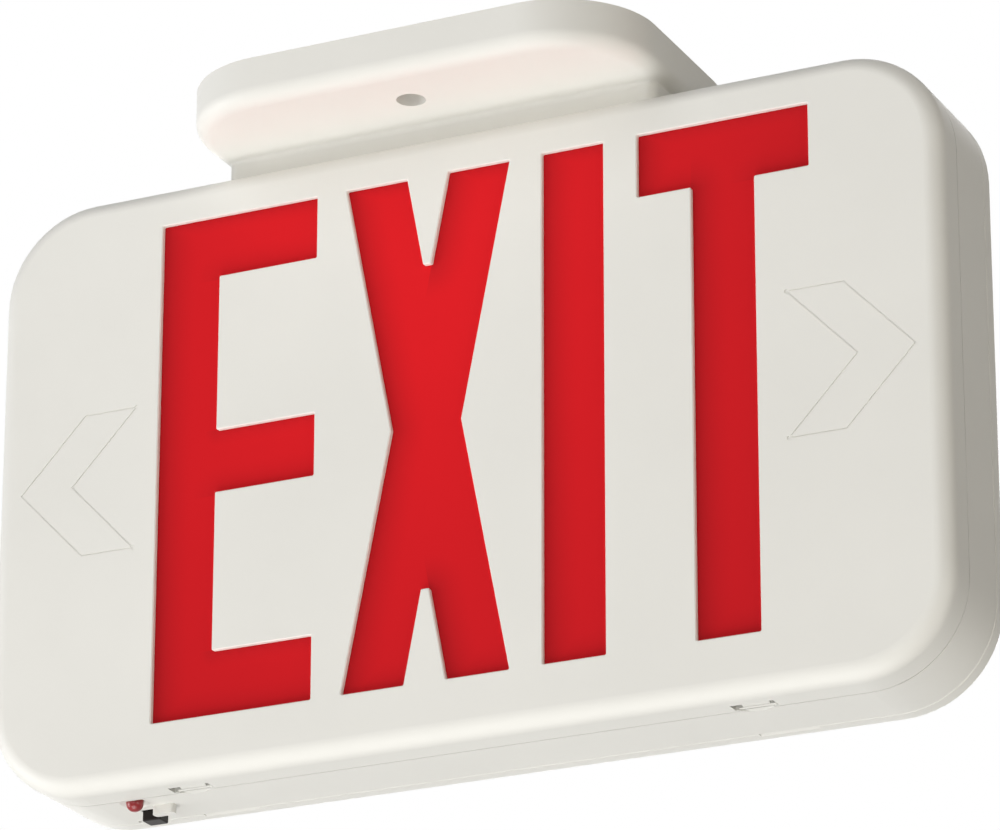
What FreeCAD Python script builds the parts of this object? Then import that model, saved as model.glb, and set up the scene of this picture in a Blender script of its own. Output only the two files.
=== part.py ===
"""Ceiling-mounted LED emergency exit light: stencil-faced housing hung from a canopy.

Millimetres, +Z up, sign face towards -Y. The origin is the centre of the canopy's
ceiling face. Front cover, housing frame and back cover stack along Y.
"""
import FreeCAD, Part
import math
import os

V = FreeCAD.Vector

# Legend, standard 6 inch letters with 3/4 inch strokes
letter_height = 152.4
letter_stroke = 19.05
e_width = 50.6
x_width = 51.8
x_arm_width = 19.4
x_waist_width = 21.8
x_notch_depth = 27.4
x_notch_flat = 2.5
t_width = 51.8
gap_e_x = 9.4
gap_x_i = 10.0
gap_i_t = 10.35
letter_corner = 0.5
letter_edge_break = 0.3

# Blank face round the legend
margin_left = 53.2
margin_right = 38.8
margin_bottom = 17.3
margin_top = 12.3

# Housing shells
corner_radius = 29.0
face_fillet = 5.0
back_fillet = 1.8
front_depth = 12.8
frame_depth = 20.2
back_depth = 6.5
wall = 2.4
face_wall = 1.5
seam_gap = 0.3
rim_break = 0.35
lip_gap = 0.15
lip_thickness = 1.2
lip_reach = 3.0

# Directional chevrons, scored so that they can be knocked out
chevron_from_middle = 101.5
chevron_arm = 16.8
chevron_reach = 20.5
chevron_height = 43.0
chevron_drop = 0.8
score_width = 0.4
score_depth = 0.25
pip_radius = 0.7

# Snaps that hold the covers on the frame
snap_spacing = 172.0
snap_width = 12.6
snap_ahead = 5.3
snap_behind = 1.7
snap_bow = 4.4
snap_sink = 1.5
snap_bridge = 1.2
snap_gap = 0.2
catch_width = 8.0
pry_width = 17.5
pry_length = 2.0
pry_depth = 0.8

# Canopy and its neck
canopy_length = 142.6
canopy_width = 100.4
canopy_height = 13.8
canopy_corner = 29.3
canopy_fillet = 4.6
canopy_wall = 2.4
neck_width = 28.8
neck_height = 6.3
neck_corner = 3.0
neck_shoulder = 3.1
neck_fillet = 0.8
neck_gap = 0.3
housing_offset = 7.9
ceiling_hole_spacing = 63.0
ceiling_hole_radius = 2.5
counterbore_radius = 4.25
counterbore_depth = 5.0
post_wall = 2.1

# Fixing of the canopy to the frame
canopy_screw_spacing = 92.0
canopy_boss_radius = 4.0
screw_radius = 1.75
screw_head_radius = 3.4
screw_head_height = 2.0
screw_crown = 0.8
screw_slot_width = 0.8
screw_slot_depth = 0.9
screw_bite = 6.0
screw_gap = 0.2
wireway_radius = 4.0
wireway_wall = 1.2

# Legend lens and its heat stakes
lens_thickness = 1.5
lens_inset = 3.6
seat_gap = 0.1
stake_radius = 1.5
stake_head_radius = 2.6
stake_head_height = 1.2
stake_inset = 7.0
stake_count_long = 5

# Light chamber
chamber_depth = 16.75
reflector_thickness = 1.5
reflector_gap = 0.4
reflector_boss_radius = 3.6
reflector_boss_length = 8.0
reflector_screw_inset = 15.0
reflector_rib = 2.0
notch_margin = 3.0
strip_width = 6.4
strip_thickness = 1.6
strip_end_inset = 36.0
led_count = 12
led_length = 3.5
led_width = 2.8
led_height = 1.9

# Test switch, its button and the charge indicator, in the bottom wall
indicator_from_left = 40.1
indicator_from_seam = 2.9
indicator_radius = 2.5
indicator_flange_radius = 2.9
indicator_stand_out = 2.5
indicator_length = 8.6
indicator_dish_radius = 4.4
indicator_dish_depth = 0.8
button_from_left = 41.5
button_from_seam = 12.6
button_width = 5.9
button_depth = 5.2
button_stand_out = 3.1
button_travel = 1.5
button_gap = 0.3
button_flange = 0.9
button_flange_height = 1.2
button_neck = 1.3
guard_from_left = 43.5
guard_length = 6.7
guard_thickness = 3.0
guard_height = 2.6
pin_hole_radius = 0.6
pin_hole_from_left = 33.0
switch_size = 6.0
switch_height = 3.5
switch_tip_radius = 1.7
switch_tip_length = 1.5
switch_board_length = 30.0
switch_board_depth = 17.0
switch_post_length = 4.0
board_thickness = 1.6

# Charger board with its components, on the back cover
charger_from_left = 32.0
charger_from_bottom = 24.0
charger_length = 104.0
charger_height = 66.0
standoff_height = 3.0
standoff_radius = 3.2
standoff_inset = 4.5
transformer_length = 38.0
transformer_height = 32.0
transformer_depth = 10.4
transformer_inset = 10.0
capacitor_radius = 4.0
capacitor_length = 16.0
capacitor_spacing = 11.0
relay_length = 19.0
relay_height = 15.0
relay_depth = 9.5
fuse_radius = 2.6
fuse_length = 20.0
header_length = 9.0
header_height = 7.0
header_depth = 6.0
plug_length = 7.0
component_pitch = 6.0

# Battery pack, its cradle and strap
cell_radius = 7.0
cell_length = 50.0
cell_count = 4
cell_pitch = 14.2
wrap_thickness = 0.25
battery_from_right = 48.0
battery_from_bottom = 62.0
cradle_wall = 2.0
cradle_height = 6.0
cradle_gap = 0.3
strap_width = 12.0
strap_thickness = 0.6
strap_foot = 10.0
lead_radius = 1.5
lead_bend = 12.0

# Knock-outs scored in the back cover
knockout_radius = 11.1
box_screw_spacing = 88.9
box_slot_length = 14.0
box_slot_width = 5.5

# Planes and edges that follow from the sizes above
housing_height = margin_bottom + letter_height + margin_top
legend_width = (e_width + gap_e_x + x_width + gap_x_i + letter_stroke + gap_i_t + t_width)
housing_width = margin_left + legend_width + margin_right
housing_depth = front_depth + frame_depth + back_depth
x_mid = housing_offset
x_left = x_mid - housing_width / 2
x_right = x_mid + housing_width / 2
z_top = -canopy_height - neck_height
z_bottom = z_top - housing_height
z_mid = (z_top + z_bottom) / 2
y_face = -housing_depth / 2
y_front_seam = y_face + front_depth
y_back_seam = y_front_seam + frame_depth
y_back = y_back_seam + back_depth
frame_wall = wall + lip_gap + lip_thickness
y_lens = y_face + face_wall + seat_gap
y_reflector = y_lens + lens_thickness + chamber_depth
y_bay = y_reflector + reflector_thickness
y_floor = y_back - wall
y_hang = (y_bay + y_back_seam) / 2
x_in_left = x_left + frame_wall
x_in_right = x_right - frame_wall
z_in_top = z_top - frame_wall
z_in_bottom = z_bottom + frame_wall
legend_left = x_left + margin_left
legend_bottom = z_bottom + margin_bottom
y_snap_front = y_front_seam - snap_ahead
y_snap_rear = y_front_seam + snap_behind
y_snap_bridge = y_front_seam - snap_bridge
snap_xs = (x_mid - snap_spacing / 2, x_mid + snap_spacing / 2)
canopy_screw_xs = (-canopy_screw_spacing / 2, canopy_screw_spacing / 2)
neck_length = canopy_length - 2 * neck_shoulder
z_neck = z_top + neck_gap
indicator_x = x_left + indicator_from_left
indicator_y = y_front_seam + indicator_from_seam
button_x = x_left + button_from_left
button_y = y_front_seam + button_from_seam
z_flange = z_in_bottom + button_gap
z_button_top = z_flange + button_flange_height + button_neck
z_switch = z_button_top + button_travel + button_gap
z_switch_board = z_switch + switch_height
y_board = y_floor - standoff_height - board_thickness
board_left = x_left + charger_from_left
board_bottom = z_bottom + charger_from_bottom
battery_width = (cell_count - 1) * cell_pitch + 2 * (cell_radius + wrap_thickness)
battery_right = x_right - battery_from_right
battery_left = battery_right - battery_width
battery_bottom = z_bottom + battery_from_bottom
battery_top = battery_bottom + cell_length
y_battery = y_floor - cradle_gap - cell_radius - wrap_thickness
strap_z = (battery_bottom + battery_top) / 2


def box(x0, x1, y0, y1, z0, z1):
    """Block between two corners."""
    return Part.makeBox(x1 - x0, y1 - y0, z1 - z0, V(x0, y0, z0))


def edges_along(shape, direction):
    """Straight edges parallel to a direction."""
    picked = []
    for edge in shape.Edges:
        if isinstance(edge.Curve, Part.Line) and edge.tangentAt(edge.FirstParameter).cross(direction).Length < 1e-6:
            picked.append(edge)
    return picked


def edges_in_plane(shape, axis, value):
    """Edges that lie in the plane where one coordinate has a value."""
    picked = []
    for edge in shape.Edges:
        bounds = edge.BoundBox
        low = {"y": bounds.YMin, "z": bounds.ZMin}[axis]
        high = {"y": bounds.YMax, "z": bounds.ZMax}[axis]
        if abs(low - value) < 1e-4 and abs(high - value) < 1e-4:
            picked.append(edge)
    return picked


def slab(inset, y0, y1):
    """The housing's outline, drawn in by an inset, as a slab along Y."""
    solid = box(x_left + inset, x_right - inset, y0, y1, z_bottom + inset, z_top - inset)
    return solid.makeFillet(corner_radius - inset, edges_along(solid, V(0, 1, 0)))


def upright(length, width, radius, z0, z1):
    """Rectangle with rounded corners, centred on the canopy's axis, as a block along Z."""
    solid = box(-length / 2, length / 2, -width / 2, width / 2, z0, z1)
    return solid.makeFillet(radius, edges_along(solid, V(0, 0, 1)))


def prism(points, y0, y1):
    """Polygon of (x, z) points carried from y0 to y1."""
    corners = [V(x, y0, z) for x, z in points]
    face = Part.Face(Part.makePolygon(corners + corners[:1]))
    return face.extrude(V(0, y1 - y0, 0))


def bar(points, x0, x1):
    """Polygon of (y, z) points carried from x0 to x1."""
    corners = [V(x0, y, z) for y, z in points]
    face = Part.Face(Part.makePolygon(corners + corners[:1]))
    return face.extrude(V(x1 - x0, 0, 0))


def rod(radius, x, y, z0, z1):
    """Upright cylinder."""
    return Part.makeCylinder(radius, z1 - z0, V(x, y, z0), V(0, 0, 1))


def pin(radius, x, z, y0, y1):
    """Cylinder along Y."""
    return Part.makeCylinder(radius, y1 - y0, V(x, y0, z), V(0, 1, 0))


def letter_outlines():
    """Corner points of the four letters E, X, I and T, left to right."""
    low = legend_bottom
    high = legend_bottom + letter_height
    middle = (low + high) / 2
    half = letter_stroke / 2
    e0 = legend_left
    e1 = e0 + letter_stroke
    e2 = e0 + e_width
    letter_e = [(e0, low), (e2, low), (e2, low + letter_stroke), (e1, low + letter_stroke),
                (e1, middle - half), (e2, middle - half), (e2, middle + half), (e1, middle + half),
                (e1, high - letter_stroke), (e2, high - letter_stroke), (e2, high), (e0, high)]
    x0 = e2 + gap_e_x
    x1 = x0 + x_width
    centre = (x0 + x1) / 2
    flat = x_notch_flat / 2
    waist = x_waist_width / 2
    letter_x = [(x0, low), (x0 + x_arm_width, low), (centre - flat, low + x_notch_depth),
                (centre + flat, low + x_notch_depth), (x1 - x_arm_width, low), (x1, low),
                (centre + waist, middle), (x1, high), (x1 - x_arm_width, high),
                (centre + flat, high - x_notch_depth), (centre - flat, high - x_notch_depth),
                (x0 + x_arm_width, high), (x0, high), (centre - waist, middle)]
    i0 = x1 + gap_x_i
    i1 = i0 + letter_stroke
    letter_i = [(i0, low), (i1, low), (i1, high), (i0, high)]
    t0 = i1 + gap_i_t
    t1 = t0 + t_width
    stem = (t0 + t1) / 2
    letter_t = [(stem - half, low), (stem + half, low), (stem + half, high - letter_stroke),
                (t1, high - letter_stroke), (t1, high), (t0, high), (t0, high - letter_stroke),
                (stem - half, high - letter_stroke)]
    return [letter_e, letter_x, letter_i, letter_t]


def letter_cutters():
    """Prisms that cut the letters through the face, with softened corners."""
    cutters = []
    for outline in letter_outlines():
        cutter = prism(outline, y_face - 1, y_face + face_wall + 1)
        cutters.append(cutter.makeFillet(letter_corner, edges_along(cutter, V(0, 1, 0))))
    return cutters


def chevron(side, grow):
    """Chevron pointing to side (+1 right, -1 left), its outline moved outwards by grow."""
    back = chevron_from_middle
    half = chevron_height / 2
    middle = legend_bottom + letter_height / 2 - chevron_drop
    reach = chevron_reach
    slope = math.hypot(half, reach) / half
    spread = grow * slope
    rise = half + grow
    lean = reach * grow / half
    points = [(back - spread - lean, rise), (back + chevron_arm + spread - lean, rise),
              (back + chevron_arm + reach + spread, 0), (back + chevron_arm + spread - lean, -rise),
              (back - spread - lean, -rise), (back + reach - spread, 0)]
    placed = [(x_mid + side * x, middle + z) for x, z in points]
    return prism(placed, y_face - 1, y_face + score_depth)


def score_lines():
    """Shallow grooves round both chevrons, with a pip at each of their inner corners."""
    grooves = []
    for side in (-1, 1):
        outer = chevron(side, score_width / 2)
        inner = chevron(side, -score_width / 2)
        grooves.append(outer.cut(inner))
        x = x_mid + side * chevron_from_middle
        middle = outer.BoundBox.ZMin / 2 + outer.BoundBox.ZMax / 2
        for end in (-1, 1):
            z = middle + end * chevron_height / 2
            grooves.append(pin(pip_radius, x, z, y_face - 1, y_face + score_depth))
    return grooves


def snap_ramp_depth(y):
    """Depth of a snap's scoop: deepest at its straight front edge, flush at its round rear edge."""
    return snap_sink * (y_snap_rear - y) / (y_snap_rear - y_snap_front)


def snap_scoop(x):
    """D-shaped hollow in the bottom wall across the seam, with a straight front edge and a ramped floor."""
    half = snap_width / 2
    radius = (half * half + snap_bow * snap_bow) / (2 * snap_bow)
    floor = bar([(y_snap_front, z_bottom - 1), (y_snap_front, z_bottom + snap_sink), (y_snap_rear, z_bottom),
                 (y_snap_rear, z_bottom - 1)], x - half, x + half)
    return floor.common(rod(radius, x, y_snap_rear - radius, z_bottom - 1, z_bottom + wall))


def snap_window(x):
    """Window through the bottom wall in front of the scoop's bridge."""
    half = snap_width / 2
    return box(x - half, x + half, y_snap_front, y_snap_bridge, z_bottom - 1, z_bottom + wall * 2)


def top_and_bottom(shape):
    """A feature of the bottom wall with its copy in the top wall."""
    return [shape, shape.mirror(V(x_mid, 0, z_mid), V(0, 0, 1))]


def stake_places():
    """Places of the heat stakes, in rows above and below the legend."""
    first = x_left + corner_radius + stake_inset
    last = x_right - corner_radius - stake_inset
    step = (last - first) / (stake_count_long - 1)
    places = []
    for index in range(stake_count_long):
        for z in (z_bottom + wall + stake_inset, z_top - wall - stake_inset):
            places.append((first + index * step, z))
    return places


def front_cover():
    """Moulded stencil face with its skirt."""
    skirt_end = y_front_seam - seam_gap
    outer = slab(0, y_face, skirt_end)
    outer = outer.makeFillet(face_fillet, edges_in_plane(outer, "y", y_face))
    hollow = slab(wall, y_face + face_wall, skirt_end + 1)
    hollow = hollow.makeFillet(face_fillet - wall, edges_in_plane(hollow, "y", y_face + face_wall))
    cover = outer.cut(hollow)
    for x, z in stake_places():
        head = y_lens + lens_thickness + seat_gap
        cover = cover.fuse(pin(stake_radius, x, z, y_face + face_wall / 2, head + stake_head_height))
        cover = cover.fuse(pin(stake_head_radius, x, z, head, head + stake_head_height))
    cover = cover.cut(letter_cutters())
    legend_edges = []
    for edge in edges_in_plane(cover, "y", y_face):
        bounds = edge.BoundBox
        inside_x = legend_left - 1 < bounds.XMin and bounds.XMax < legend_left + legend_width + 1
        inside_z = legend_bottom - 1 < bounds.ZMin and bounds.ZMax < legend_bottom + letter_height + 1
        if inside_x and inside_z:
            legend_edges.append(edge)
    cover = cover.makeChamfer(letter_edge_break, legend_edges)
    cover = cover.cut(score_lines())
    for x in snap_xs:
        cover = cover.cut(top_and_bottom(snap_window(x)))
        cover = cover.cut(top_and_bottom(snap_scoop(x)))
    return cover.removeSplitter()


def legend_lens():
    """Red translucent panel behind the letters, on the cover's heat stakes."""
    lens = slab(wall + lens_inset, y_lens, y_lens + lens_thickness)
    holes = [pin(stake_radius + seat_gap, x, z, y_lens - 1, y_lens + lens_thickness + 1) for x, z in stake_places()]
    return lens.cut(holes)


def snap_tab(x):
    """Tongue of the frame behind a snap window, with a catch whose face carries on the scoop's ramp."""
    half = catch_width / 2
    front = y_snap_front + snap_gap
    rear = y_snap_bridge - snap_gap
    lip_outer = z_bottom + wall + lip_gap
    tongue = box(x - half, x + half, front, y_front_seam, lip_outer, z_bottom + frame_wall)
    catch = bar([(front, z_bottom + snap_ramp_depth(front)), (rear, z_bottom + snap_ramp_depth(rear)),
                 (rear, lip_outer + lip_thickness / 2), (front, lip_outer + lip_thickness / 2)], x - half, x + half)
    return tongue.fuse(catch)


def snap_slots(x):
    """Slots in the lip that free both sides of a tongue."""
    slots = []
    for side in (-1, 1):
        near = x + side * catch_width / 2
        far = x + side * snap_width / 2
        slots.append(box(min(near, far), max(near, far), y_front_seam - lip_reach - 1, y_front_seam,
                         z_bottom + wall, z_in_bottom + 1))
    return slots


def reflector_screw_places():
    """Places of the reflector's four fixing screws."""
    places = []
    for x in (x_left + reflector_screw_inset, x_right - reflector_screw_inset):
        for z in (z_bottom + reflector_screw_inset, z_top - reflector_screw_inset):
            places.append((x, z))
    return places


def housing_frame():
    """Middle band of the housing, with lips, snaps, bosses and the switch openings."""
    band = slab(0, y_front_seam, y_back_seam)
    lip = slab(wall + lip_gap, y_front_seam - lip_reach, y_back_seam + lip_reach)
    inside = slab(frame_wall, y_front_seam - lip_reach - 1, y_back_seam + lip_reach + 1)
    frame = band.fuse(lip).cut(inside)
    for x in snap_xs:
        frame = frame.fuse(top_and_bottom(snap_tab(x)))
        for slot in snap_slots(x):
            frame = frame.cut(top_and_bottom(slot))
        frame = frame.cut(top_and_bottom(snap_scoop(x)))
    for x, z in reflector_screw_places():
        boss_end = y_bay + reflector_boss_length
        boss = pin(reflector_boss_radius, x, z, y_bay, boss_end)
        wall_x = x_left + wall if x < x_mid else x_right - wall
        wall_z = z_bottom + wall if z < z_mid else z_top - wall
        upright_rib = box(x - reflector_rib / 2, x + reflector_rib / 2, y_bay, boss_end,
                          min(z, wall_z), max(z, wall_z))
        level_rib = box(min(x, wall_x), max(x, wall_x), y_bay, boss_end,
                        z - reflector_rib / 2, z + reflector_rib / 2)
        ribs = upright_rib.fuse(level_rib).common(slab(wall, y_bay, boss_end))
        frame = frame.fuse([boss, ribs])
        frame = frame.cut(pin(screw_radius - screw_gap, x, z, y_bay - 1, y_bay + screw_bite + 1))
    for side in (-1, 1):
        x = button_x + side * (switch_board_length - switch_post_length) / 2
        frame = frame.fuse(box(x - switch_post_length / 2, x + switch_post_length / 2,
                               y_front_seam + 1, y_front_seam + 1 + switch_board_depth,
                               z_in_bottom - 1, z_switch_board))
    for x in canopy_screw_xs:
        frame = frame.cut(rod(screw_radius + screw_gap, x, y_hang, z_in_top - 1, z_top + 1))
    frame = frame.cut(rod(wireway_radius + wireway_wall + seat_gap, 0, y_hang, z_in_top - 1, z_top + 1))
    guard_x = x_left + guard_from_left
    guard_y = button_y - button_depth / 2 - button_gap
    guard = box(guard_x, guard_x + guard_length, guard_y - guard_thickness, guard_y,
                z_bottom - guard_height, z_bottom + 1)
    guard = guard.makeFillet(guard_thickness / 3, edges_along(guard, V(0, 0, 1)))
    frame = frame.fuse(guard)
    frame = frame.cut(button_hole())
    frame = frame.cut(rod(indicator_radius + seat_gap, indicator_x, indicator_y, z_bottom - 1, z_in_bottom + 1))
    dish = Part.makeCone(indicator_dish_radius, indicator_radius + seat_gap, indicator_dish_depth,
                         V(indicator_x, indicator_y, z_bottom), V(0, 0, 1))
    dish = dish.common(box(x_left, x_right, y_front_seam + seam_gap, y_back_seam, z_bottom - 1, z_top))
    frame = frame.cut(dish)
    pin_y = y_back_seam - pin_hole_radius * 2
    frame = frame.cut(rod(pin_hole_radius, x_left + pin_hole_from_left, pin_y, z_bottom - 1, z_in_bottom + 1))
    return frame.removeSplitter()


def button_hole():
    """Opening in the bottom wall that the test button slides through."""
    half_x = button_width / 2 + button_gap
    half_y = button_depth / 2 + button_gap
    return box(button_x - half_x, button_x + half_x, button_y - half_y, button_y + half_y,
               z_bottom - guard_height, z_in_bottom + 1)


def test_button():
    """Push-to-test button: rounded stem, retaining flange and a socket for the switch tip."""
    stem = box(button_x - button_width / 2, button_x + button_width / 2,
               button_y - button_depth / 2, button_y + button_depth / 2,
               z_bottom - button_stand_out, z_button_top)
    stem = stem.makeFillet(0.6, edges_along(stem, V(0, 0, 1)))
    stem = stem.makeFillet(0.4, edges_in_plane(stem, "z", z_bottom - button_stand_out))
    flange = box(button_x - button_width / 2 - button_flange, button_x + button_width / 2 + button_flange,
                 button_y - button_depth / 2 - button_flange, button_y + button_depth / 2 + button_flange,
                 z_flange, z_flange + button_flange_height)
    socket = rod(switch_tip_radius + button_gap, button_x, button_y,
                 z_button_top - button_travel - button_gap, z_button_top + 1)
    return stem.fuse(flange).cut(socket).removeSplitter()


def test_switch():
    """Tact switch under its board, with the tip that the button presses."""
    half = switch_size / 2
    body = box(button_x - half, button_x + half, button_y - half, button_y + half, z_switch, z_switch_board)
    tip = rod(switch_tip_radius, button_x, button_y, z_switch - switch_tip_length, z_switch + 1)
    return body.fuse(tip)


def switch_board():
    """Small board across two posts of the frame, carrying the switch and the indicator."""
    board = box(button_x - switch_board_length / 2, button_x + switch_board_length / 2,
                y_front_seam + 1, y_front_seam + 1 + switch_board_depth,
                z_switch_board, z_switch_board + board_thickness)
    return board


def indicator_led():
    """Charge indicator: domed lens, flange and two leads up to the switch board."""
    tip = z_bottom - indicator_stand_out
    dome = Part.makeSphere(indicator_radius, V(indicator_x, indicator_y, tip + indicator_radius))
    body = rod(indicator_radius, indicator_x, indicator_y, tip + indicator_radius, tip + indicator_length)
    flange = rod(indicator_flange_radius, indicator_x, indicator_y, z_in_bottom + seat_gap, tip + indicator_length)
    led = dome.fuse([body, flange])
    pitch = indicator_radius / 2
    for side in (-1, 1):
        x = indicator_x + side * pitch
        led = led.fuse(box(x - 0.25, x + 0.25, indicator_y - 0.25, indicator_y + 0.25,
                           tip + indicator_length - 1, z_switch_board))
    return led.removeSplitter()


def switch_notch():
    """Clear corner of the light chamber for the switch board and the indicator."""
    half = switch_board_length / 2 + notch_margin
    return box(button_x - half, button_x + half, y_reflector - 1, y_bay + 1,
               z_bottom, z_switch_board + board_thickness + notch_margin)


def reflector_panel():
    """White plate behind the light chamber, screwed to the frame's bosses."""
    panel = slab(frame_wall + reflector_gap, y_reflector, y_bay)
    panel = panel.cut(switch_notch())
    holes = [pin(screw_radius + screw_gap, x, z, y_reflector - 1, y_bay + 1) for x, z in reflector_screw_places()]
    return panel.cut(holes)


def screw(length):
    """Pan-head screw with a cross recess, head at z = 0 and shank down -Z."""
    shank = Part.makeCylinder(screw_radius - screw_gap, length, V(0, 0, -length))
    skirt_height = screw_head_height - screw_crown
    skirt = Part.makeCylinder(screw_head_radius, skirt_height)
    crown = Part.makeCone(screw_head_radius, screw_head_radius - screw_crown, screw_crown, V(0, 0, skirt_height))
    half = screw_slot_width / 2
    low = screw_head_height - screw_slot_depth
    along = box(-screw_radius, screw_radius, -half, half, low, screw_head_height + 1)
    across = box(-half, half, -screw_radius, screw_radius, low, screw_head_height + 1)
    return shank.fuse([skirt, crown]).cut([along, across])


def placed_screw(length, position, direction):
    """A screw with its head's underside at a position and its head on the side of direction."""
    copy = screw(length)
    copy.Placement = FreeCAD.Placement(position, FreeCAD.Rotation(V(0, 0, 1), direction))
    return copy


def reflector_screws():
    """The four screws that hold the reflector."""
    length = reflector_thickness + screw_bite
    return [placed_screw(length, V(x, y_reflector, z), V(0, -1, 0)) for x, z in reflector_screw_places()]


def strip_ends():
    """Ends of the LED strips; the lower one stops short of the switch board."""
    start = x_left + strip_end_inset
    end = x_right - strip_end_inset
    lower_start = button_x + switch_board_length / 2 + switch_post_length
    return (start, end), (lower_start, end)


def strip_board(start, end, z0, z1):
    """LED strip board along the frame's wall, just in front of the reflector."""
    return box(start, end, y_reflector - strip_width, y_reflector, z0, z1)


def led_strip_top():
    """Upper LED strip board."""
    start, end = strip_ends()[0]
    return strip_board(start, end, z_in_top - strip_thickness - seat_gap, z_in_top - seat_gap)


def led_strip_bottom():
    """Lower LED strip board."""
    start, end = strip_ends()[1]
    return strip_board(start, end, z_in_bottom + seat_gap, z_in_bottom + seat_gap + strip_thickness)


def led_row(start, end, z0, z1):
    """Row of LED packages spread along a strip board."""
    step = (end - start) / led_count
    y = y_reflector - strip_width / 2
    row = []
    for index in range(led_count):
        x = start + step * (index + 0.5)
        row.append(box(x - led_length / 2, x + led_length / 2, y - led_width / 2, y + led_width / 2, z0, z1))
    return row


def led_packages_top():
    """LEDs that shine down from the upper strip."""
    start, end = strip_ends()[0]
    z = z_in_top - seat_gap - strip_thickness
    return led_row(start, end, z - led_height, z)


def led_packages_bottom():
    """LEDs that shine up from the lower strip."""
    start, end = strip_ends()[1]
    z = z_in_bottom + seat_gap + strip_thickness
    return led_row(start, end, z, z + led_height)


def standoff_places():
    """Places of the charger board's four stand-offs."""
    places = []
    for x in (board_left + standoff_inset, board_left + charger_length - standoff_inset):
        for z in (board_bottom + standoff_inset, board_bottom + charger_height - standoff_inset):
            places.append((x, z))
    return places


def knockouts():
    """Scored centre knock-out and two slotted box-screw knock-outs of the back cover."""
    inner_y = y_back - score_depth * 2
    ring = pin(knockout_radius + score_width, x_mid, z_mid, inner_y, y_back + 1)
    ring = ring.cut(pin(knockout_radius, x_mid, z_mid, inner_y - 1, y_back + 2))
    grooves = [ring]
    for side in (-1, 1):
        x = x_mid + side * box_screw_spacing / 2
        outer = slot_block(x, box_slot_length + score_width * 2, box_slot_width + score_width * 2, inner_y)
        inner = slot_block(x, box_slot_length, box_slot_width, inner_y - 1)
        grooves.append(outer.cut(inner))
    return grooves


def slot_block(x, length, width, y0):
    """Round-ended slot along X, from y0 out through the back."""
    solid = box(x - length / 2, x + length / 2, y0, y_back + 2, z_mid - width / 2, z_mid + width / 2)
    return solid.makeFillet(width / 2 - 0.01, edges_along(solid, V(0, 1, 0)))


def battery_cradle():
    """Ribs of the back cover round the battery pack, and the strap's two posts."""
    inner_left = battery_left - cradle_gap
    inner_right = battery_right + cradle_gap
    inner_low = battery_bottom - cradle_gap
    inner_high = battery_top + cradle_gap
    top = y_floor - cradle_height
    base = y_floor + wall / 2
    ribs = [box(inner_left - cradle_wall, inner_right + cradle_wall, top, base, inner_low - cradle_wall, inner_low),
            box(inner_left - cradle_wall, inner_right + cradle_wall, top, base, inner_high, inner_high + cradle_wall)]
    for x in strap_post_xs():
        ribs.append(box(x - strap_foot / 2, x + strap_foot / 2, strap_foot_y() + strap_thickness, base,
                        strap_z - strap_width / 2, strap_z + strap_width / 2))
    return ribs


def strap_post_xs():
    """Places of the strap's feet beside the pack."""
    reach = cradle_gap + strap_thickness + strap_foot / 2
    return (battery_left - reach, battery_right + reach)


def strap_foot_y():
    """Front of the strap's feet."""
    return y_floor - cradle_height


def back_cover():
    """Moulded back with its rim, knock-outs, stand-offs and battery cradle."""
    rim_start = y_back_seam + seam_gap
    outer = slab(0, rim_start, y_back)
    outer = outer.makeFillet(back_fillet, edges_in_plane(outer, "y", y_back))
    outer = outer.makeChamfer(rim_break, edges_in_plane(outer, "y", rim_start))
    cover = outer.cut(slab(wall, rim_start - 1, y_floor))
    for x, z in standoff_places():
        cover = cover.fuse(pin(standoff_radius, x, z, y_board + board_thickness, y_floor + wall / 2))
        cover = cover.cut(pin(screw_radius - screw_gap, x, z, y_board, y_floor + wall / 4))
    cover = cover.fuse(battery_cradle())
    for x in strap_post_xs():
        cover = cover.cut(pin(screw_radius - screw_gap, x, strap_z, strap_foot_y(), strap_foot_y() + cradle_height))
    cover = cover.cut(knockouts())
    for x in snap_xs:
        cover = cover.cut(top_and_bottom(pry_scoop(x, rim_start)))
    return cover.removeSplitter()


def pry_scoop(x, start):
    """Shallow hollow in the rim of the bottom wall for a screwdriver, deepest at the seam."""
    half = pry_width / 2
    return bar([(start - 1, z_bottom - 1), (start - 1, z_bottom + pry_depth), (start, z_bottom + pry_depth),
                (start + pry_length, z_bottom), (start + pry_length, z_bottom - 1)], x - half, x + half)


def neck_root(body):
    """Edges where the neck meets the canopy's underside."""
    picked = []
    for edge in body.Edges:
        bounds = edge.BoundBox
        level = -canopy_height - 1e-3 < bounds.ZMin and bounds.ZMax < -canopy_height + canopy_wall
        within_x = abs(bounds.XMin) < neck_length / 2 + 1e-3 and abs(bounds.XMax) < neck_length / 2 + 1e-3
        within_y = abs(bounds.YMin) < neck_width / 2 + 1e-3 and abs(bounds.YMax) < neck_width / 2 + 1e-3
        if level and within_x and within_y:
            picked.append(edge)
    return picked


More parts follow.
